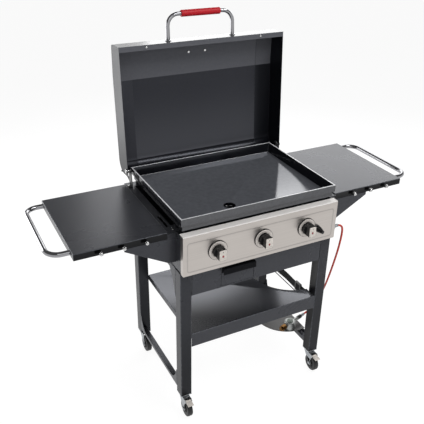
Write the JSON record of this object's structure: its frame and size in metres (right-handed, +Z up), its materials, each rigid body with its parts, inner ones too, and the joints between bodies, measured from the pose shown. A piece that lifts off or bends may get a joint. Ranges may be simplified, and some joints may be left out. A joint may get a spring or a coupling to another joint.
{
  "type": "gas grill",
  "caption": "Freestanding gas griddle grill with an open hinged lid, folded-sheet cart on casters, side shelves with towel bars, burner knobs, grease tray and gas hose with regulator.",
  "frame": {"origin": "on the floor, under the middle of the object's bounding box with the lid open", "axes": "+X to the right along the control panel, +Y to the back, +Z up"},
  "size_m": [1.565, 0.6332, 1.508],
  "materials": {
    "frame_paint": "satin graphite powder coat",
    "lid_paint": "satin graphite powder coat",
    "stainless": "brushed along the panel",
    "griddle_enamel": "glossy black enamel",
    "bright_steel": "polished",
    "zinc_steel": "zinc plated",
    "brass": "machined",
    "cast_alloy": "as cast",
    "black_plastic": "moulded",
    "pale_plastic": "moulded",
    "red_grip": "soft gloss",
    "wheel_rubber": "moulded",
    "hose_rubber": "smooth orange-red",
    "webbing": "woven black"
  },
  "bodies": {
    "cart": {"bottle_plate": "frame_paint", "bottle_strap": "webbing", "bottom_side_rails": "frame_paint", "burners": "zinc_steel", "caster_stems": "zinc_steel", "control_panel": "stainless", "drain_chute": "zinc_steel", "firebox": "frame_paint", "frame_screws": "bright_steel", "front_apron": "frame_paint", "gas_hose": "hose_rubber", "gas_manifold": "zinc_steel", "gas_valves": "brass", "hinge_brackets": "frame_paint", "igniter_body": "black_plastic", "igniter_electrodes": "pale_plastic", "knob_bezels": "bright_steel", "leg_front_left": "frame_paint", "leg_front_right": "frame_paint", "leg_rear_left": "frame_paint", "leg_rear_right": "frame_paint", "lower_shelf": "frame_paint", "rear_rail": "frame_paint", "regulator": "cast_alloy", "regulator_nut": "brass", "shelf_gussets": "frame_paint", "shelf_hooks": "bright_steel", "side_shelf_left": "frame_paint", "side_shelf_right": "frame_paint", "top_side_rails": "frame_paint", "towel_bar_left": "bright_steel", "towel_bar_right": "bright_steel", "tray_rails": "frame_paint"},
    "lid": {"lid_shell": "lid_paint", "lid_end_panels": "lid_paint", "lid_badge": "bright_steel", "lid_bolts": "bright_steel", "lid_hinge_pins": "bright_steel", "lid_handle": "bright_steel", "lid_grip": "red_grip"},
    "griddle": {"griddle_plate": "griddle_enamel"},
    "tray": {"drip_tray": "frame_paint", "tray_handle": "frame_paint"},
    "igniter_push": {"igniter_button": "black_plastic"},
    "stem_left": {"valve_stem_left": "zinc_steel"},
    "knob_left": {"knob_left": "black_plastic"},
    "stem_centre": {"valve_stem_centre": "zinc_steel"},
    "knob_centre": {"knob_centre": "black_plastic"},
    "stem_right": {"valve_stem_right": "zinc_steel"},
    "knob_right": {"knob_right": "black_plastic"},
    "swivel_front_left": {"caster_fork_front_left": "zinc_steel"},
    "wheel_front_left": {"caster_wheel_front_left": "wheel_rubber"},
    "brake_front_left": {"caster_brake_front_left": "pale_plastic"},
    "swivel_front_right": {"caster_fork_front_right": "zinc_steel"},
    "wheel_front_right": {"caster_wheel_front_right": "wheel_rubber"},
    "brake_front_right": {"caster_brake_front_right": "pale_plastic"},
    "swivel_rear_left": {"caster_fork_rear_left": "zinc_steel"},
    "wheel_rear_left": {"caster_wheel_rear_left": "wheel_rubber"},
    "swivel_rear_right": {"caster_fork_rear_right": "zinc_steel"},
    "wheel_rear_right": {"caster_wheel_rear_right": "wheel_rubber"}
  },
  "joints": [
    {"name": "lid_hinge", "type": "hinge", "parent": "cart", "child": "lid", "pos_m": [0, 0.208, 0.915], "axis": [1, 0, 0], "range_deg": [0, 93.5]},
    {"name": "griddle_lift", "type": "slide", "parent": "cart", "child": "griddle", "axis": [0, 0, 1], "range_m": [0, 0.025]},
    {"name": "tray_slide", "type": "slide", "parent": "cart", "child": "tray", "axis": [0, -1, 0], "range_m": [0, 0.26]},
    {"name": "igniter_press", "type": "slide", "parent": "cart", "child": "igniter_push", "axis": [0, 1, 0], "range_m": [0, 0.005], "stiffness_N_per_m": 600, "springref_m": -0.002},
    {"name": "knob_push_left", "type": "slide", "parent": "cart", "child": "stem_left", "axis": [0, 1, 0], "range_m": [0, 0.004], "stiffness_N_per_m": 800, "springref_m": -0.002},
    {"name": "knob_turn_left", "type": "hinge", "parent": "stem_left", "child": "knob_left", "pos_m": [-0.194, -0.275, 0.773], "axis": [0, -1, 0], "range_deg": [0, 180]},
    {"name": "knob_push_centre", "type": "slide", "parent": "cart", "child": "stem_centre", "axis": [0, 1, 0], "range_m": [0, 0.004], "stiffness_N_per_m": 800, "springref_m": -0.002},
    {"name": "knob_turn_centre", "type": "hinge", "parent": "stem_centre", "child": "knob_centre", "pos_m": [-0.002, -0.275, 0.773], "axis": [0, -1, 0], "range_deg": [0, 180]},
    {"name": "knob_push_right", "type": "slide", "parent": "cart", "child": "stem_right", "axis": [0, 1, 0], "range_m": [0, 0.004], "stiffness_N_per_m": 800, "springref_m": -0.002},
    {"name": "knob_turn_right", "type": "hinge", "parent": "stem_right", "child": "knob_right", "pos_m": [0.19, -0.275, 0.773], "axis": [0, -1, 0], "range_deg": [0, 180]},
    {"name": "swivel_front_left", "type": "hinge", "parent": "cart", "child": "swivel_front_left", "pos_m": [-0.31, -0.231, 0.0875], "axis": [0, 0, 1], "continuous": true},
    {"name": "roll_front_left", "type": "hinge", "parent": "swivel_front_left", "child": "wheel_front_left", "pos_m": [-0.31, -0.257, 0.0375], "axis": [1, 0, 0], "continuous": true},
    {"name": "brake_front_left", "type": "hinge", "parent": "swivel_front_left", "child": "brake_front_left", "pos_m": [-0.31, -0.269, 0.0805], "axis": [1, 0, 0], "range_deg": [0, 10]},
    {"name": "swivel_front_right", "type": "hinge", "parent": "cart", "child": "swivel_front_right", "pos_m": [0.31, -0.231, 0.0875], "axis": [0, 0, 1], "continuous": true},
    {"name": "roll_front_right", "type": "hinge", "parent": "swivel_front_right", "child": "wheel_front_right", "pos_m": [0.31, -0.257, 0.0375], "axis": [1, 0, 0], "continuous": true},
    {"name": "brake_front_right", "type": "hinge", "parent": "swivel_front_right", "child": "brake_front_right", "pos_m": [0.31, -0.269, 0.0805], "axis": [1, 0, 0], "range_deg": [0, 10]},
    {"name": "swivel_rear_left", "type": "hinge", "parent": "cart", "child": "swivel_rear_left", "pos_m": [-0.31, 0.213, 0.0875], "axis": [0, 0, 1], "continuous": true},
    {"name": "roll_rear_left", "type": "hinge", "parent": "swivel_rear_left", "child": "wheel_rear_left", "pos_m": [-0.31, 0.187, 0.0375], "axis": [1, 0, 0], "continuous": true},
    {"name": "swivel_rear_right", "type": "hinge", "parent": "cart", "child": "swivel_rear_right", "pos_m": [0.31, 0.213, 0.0875], "axis": [0, 0, 1], "continuous": true},
    {"name": "roll_rear_right", "type": "hinge", "parent": "swivel_rear_right", "child": "wheel_rear_right", "pos_m": [0.31, 0.187, 0.0375], "axis": [1, 0, 0], "continuous": true}
  ]
}
